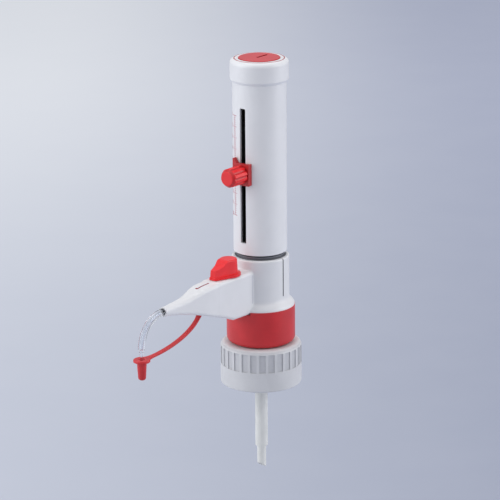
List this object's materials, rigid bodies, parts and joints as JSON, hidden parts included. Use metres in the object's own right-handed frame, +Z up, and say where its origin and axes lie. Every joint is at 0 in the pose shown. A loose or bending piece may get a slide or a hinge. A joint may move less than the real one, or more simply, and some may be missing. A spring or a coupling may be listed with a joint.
{
  "type": "bottle-top dispenser",
  "caption": "Bottle-top dispenser with a lifting housing, a volume pointer on a slot, a valve arm with a curved nozzle and a screw nut for a GL 45 bottle.",
  "frame": {"origin": "centre of the plane in which the mouth gasket sits on the bottle's rim", "axes": "+Z up along the piston, discharge arm and housing slot towards -X"},
  "size_m": [0.1524, 0.054, 0.2826],
  "materials": {
    "white_plastic": "satin moulded polypropylene",
    "white_inner": "machined fluoropolymer",
    "white_seal": "smooth PTFE",
    "red_plastic": "satin moulded polypropylene",
    "red_soft": "flexible moulded plastic",
    "grey_plastic": "moulded polypropylene",
    "dark_plastic": "dark moulded plastic",
    "black_plastic": "black moulded plastic",
    "clear_glass": "clear borosilicate glass",
    "clear_tube": "clear FEP tubing",
    "ceramic": "polished ceramic",
    "steel": "turned steel"
  },
  "bodies": {
    "base": {"mount_spigot": "white_plastic", "mouth_gasket": "white_seal", "base_collar": "red_plastic", "front_shell": "white_plastic", "rear_shell": "white_plastic", "valve_block": "white_inner", "filling_valve_housing": "white_inner", "discharge_valve_seat": "white_inner", "glass_cylinder": "clear_glass", "cylinder_sleeve": "grey_plastic", "locking_ring": "dark_plastic", "discharge_tube": "clear_tube", "discharge_tip": "clear_tube", "closure_strap": "red_soft", "strap_plug": "red_soft", "intake_tube_upper": "clear_tube", "recirculation_tube": "clear_tube"},
    "nut": {"screw_nut": "white_plastic"},
    "piston_unit": {"housing": "white_plastic", "rack_tube": "black_plastic", "guide_ring": "grey_plastic", "top_cap": "white_plastic", "rod_carrier": "grey_plastic", "piston_rod": "white_inner", "piston_head": "white_seal"},
    "pointer": {"pointer_plate": "red_plastic", "clamp_block": "grey_plastic"},
    "thumb_screw": {"thumb_knob": "red_plastic", "clamp_screw": "steel"},
    "cover": {"calibration_cover": "red_plastic"},
    "calibration": {"calibration_screw": "grey_plastic"},
    "recirculation_valve": {"recirculation_knob": "red_plastic", "recirculation_spindle": "white_inner"},
    "closure": {"closure_cap": "red_soft"},
    "telescope": {"intake_tube_lower": "clear_tube"},
    "filling_ball": {"filling_valve_ball": "ceramic"},
    "discharge_ball": {"discharge_valve_ball": "ceramic"}
  },
  "joints": [
    {"name": "nut_turn", "type": "hinge", "parent": "base", "child": "nut", "pos_m": [0, 0, 0], "axis": [0, 0, 1], "continuous": true},
    {"name": "stroke", "type": "slide", "parent": "base", "child": "piston_unit", "axis": [0, 0, 1], "range_m": [0, 0.074]},
    {"name": "pointer_slide", "type": "slide", "parent": "piston_unit", "child": "pointer", "axis": [0, 0, 1], "range_m": [-0.037, 0.0296]},
    {"name": "thumb_screw_turn", "type": "hinge", "parent": "pointer", "child": "thumb_screw", "pos_m": [-0.027, 0, 0.124], "axis": [-1, 0, 0], "continuous": true},
    {"name": "cover_lift", "type": "slide", "parent": "piston_unit", "child": "cover", "axis": [0, 0, 1], "range_m": [0, 0.006]},
    {"name": "calibration_turn", "type": "hinge", "parent": "piston_unit", "child": "calibration", "pos_m": [0, 0, 0.188], "axis": [0, 0, 1], "range_deg": [-180, 180]},
    {"name": "recirculation_turn", "type": "hinge", "parent": "base", "child": "recirculation_valve", "pos_m": [-0.0333, 0, 0.06], "axis": [0, 0, 1], "range_deg": [0, 90]},
    {"name": "closure_pull", "type": "slide", "parent": "base", "child": "closure", "axis": [0, 0, -1], "range_m": [0, 0.01], "deforming": ["closure_strap"]},
    {"name": "telescope_slide", "type": "slide", "parent": "base", "child": "telescope", "axis": [0, 0, -1], "range_m": [0, 0.05]},
    {"name": "filling_ball_lift", "type": "slide", "parent": "base", "child": "filling_ball", "axis": [0, 0, 1], "range_m": [0, 0.0015]},
    {"name": "discharge_ball_lift", "type": "slide", "parent": "base", "child": "discharge_ball", "axis": [-1, 0, 0], "range_m": [0, 0.0012]}
  ]
}
